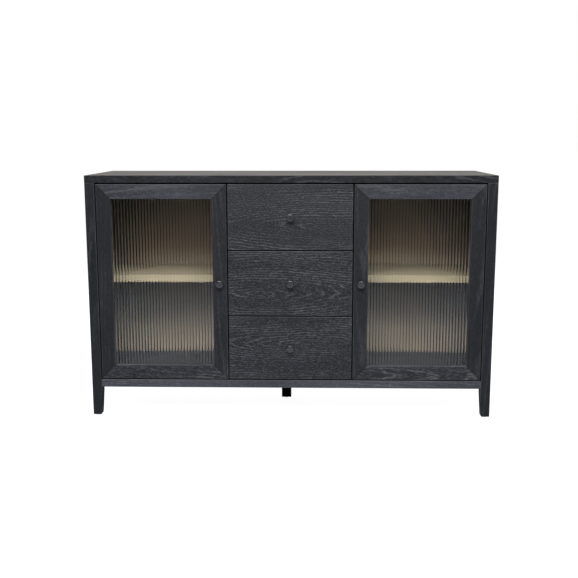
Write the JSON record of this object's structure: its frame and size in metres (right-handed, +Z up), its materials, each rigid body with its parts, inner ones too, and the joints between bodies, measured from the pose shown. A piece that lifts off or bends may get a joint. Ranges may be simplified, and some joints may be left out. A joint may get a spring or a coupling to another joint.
{
  "type": "sideboard",
  "caption": "Black open-pore ash sideboard with reeded glass doors, a bank of drawers with round knobs, pale shelves inside and a centre support leg.",
  "frame": {"origin": "on the floor, under the middle of the box that holds the whole sideboard, knobs included", "axes": "+X to the right seen from the front, the doors and drawers face -Y, +Z up"},
  "size_m": [1.5, 0.482, 0.907],
  "materials": {
    "black_ash": "black open-pore stain under satin lacquer",
    "knob_black": "turned, black stained, satin",
    "natural_oak": "natural veneer, matt lacquer",
    "drawer_wood": "natural solid wood, matt",
    "reeded_glass": "clear, vertical reeds",
    "steel": "brushed",
    "black_plastic": "matt"
  },
  "bodies": {
    "carcass": {"top_panel": "black_ash", "bottom_panel": "black_ash", "side_panel_left": "black_ash", "side_panel_right": "black_ash", "partition_left": "black_ash", "partition_right": "black_ash", "back_panel": "natural_oak", "leg_front_left": "black_ash", "leg_front_right": "black_ash", "leg_rear_left": "black_ash", "leg_rear_right": "black_ash", "center_leg": "black_ash", "front_rail": "black_ash", "rear_rail": "black_ash", "glide_front_left": "black_plastic", "glide_front_right": "black_plastic", "glide_rear_left": "black_plastic", "glide_rear_right": "black_plastic", "glide_center": "black_plastic", "shelf_left": "natural_oak", "shelf_right": "natural_oak", "magnet_catch_left": "black_plastic", "magnet_catch_right": "black_plastic", "drawer_upper_runner_left": "drawer_wood", "drawer_upper_runner_right": "drawer_wood", "drawer_middle_runner_left": "drawer_wood", "drawer_middle_runner_right": "drawer_wood", "drawer_lower_runner_left": "drawer_wood", "drawer_lower_runner_right": "drawer_wood"},
    "door_left": {"door_left_stile_outer": "black_ash", "door_left_stile_inner": "black_ash", "door_left_rail_top": "black_ash", "door_left_rail_bottom": "black_ash", "door_left_glass": "reeded_glass", "door_left_knob": "knob_black", "door_left_pivot_bottom": "steel", "door_left_pivot_top": "steel", "door_left_strike_plate": "steel"},
    "door_right": {"door_right_stile_outer": "black_ash", "door_right_stile_inner": "black_ash", "door_right_rail_top": "black_ash", "door_right_rail_bottom": "black_ash", "door_right_glass": "reeded_glass", "door_right_knob": "knob_black", "door_right_pivot_bottom": "steel", "door_right_pivot_top": "steel", "door_right_strike_plate": "steel"},
    "drawer_upper": {"drawer_upper_front": "black_ash", "drawer_upper_box": "drawer_wood", "drawer_upper_base": "drawer_wood", "drawer_upper_knob": "knob_black"},
    "drawer_middle": {"drawer_middle_front": "black_ash", "drawer_middle_box": "drawer_wood", "drawer_middle_base": "drawer_wood", "drawer_middle_knob": "knob_black"},
    "drawer_lower": {"drawer_lower_front": "black_ash", "drawer_lower_box": "drawer_wood", "drawer_lower_base": "drawer_wood", "drawer_lower_knob": "knob_black"}
  },
  "joints": [
    {"name": "door_left_hinge", "type": "hinge", "parent": "carcass", "child": "door_left", "pos_m": [-0.6938, -0.209, 0.5], "axis": [0, 0, -1], "range_deg": [0, 110]},
    {"name": "door_right_hinge", "type": "hinge", "parent": "carcass", "child": "door_right", "pos_m": [0.6938, -0.209, 0.5], "axis": [0, 0, 1], "range_deg": [0, 110]},
    {"name": "drawer_upper_slide", "type": "slide", "parent": "carcass", "child": "drawer_upper", "axis": [0, -1, 0], "range_m": [0, 0.3]},
    {"name": "drawer_middle_slide", "type": "slide", "parent": "carcass", "child": "drawer_middle", "axis": [0, -1, 0], "range_m": [0, 0.3]},
    {"name": "drawer_lower_slide", "type": "slide", "parent": "carcass", "child": "drawer_lower", "axis": [0, -1, 0], "range_m": [0, 0.3]}
  ]
}
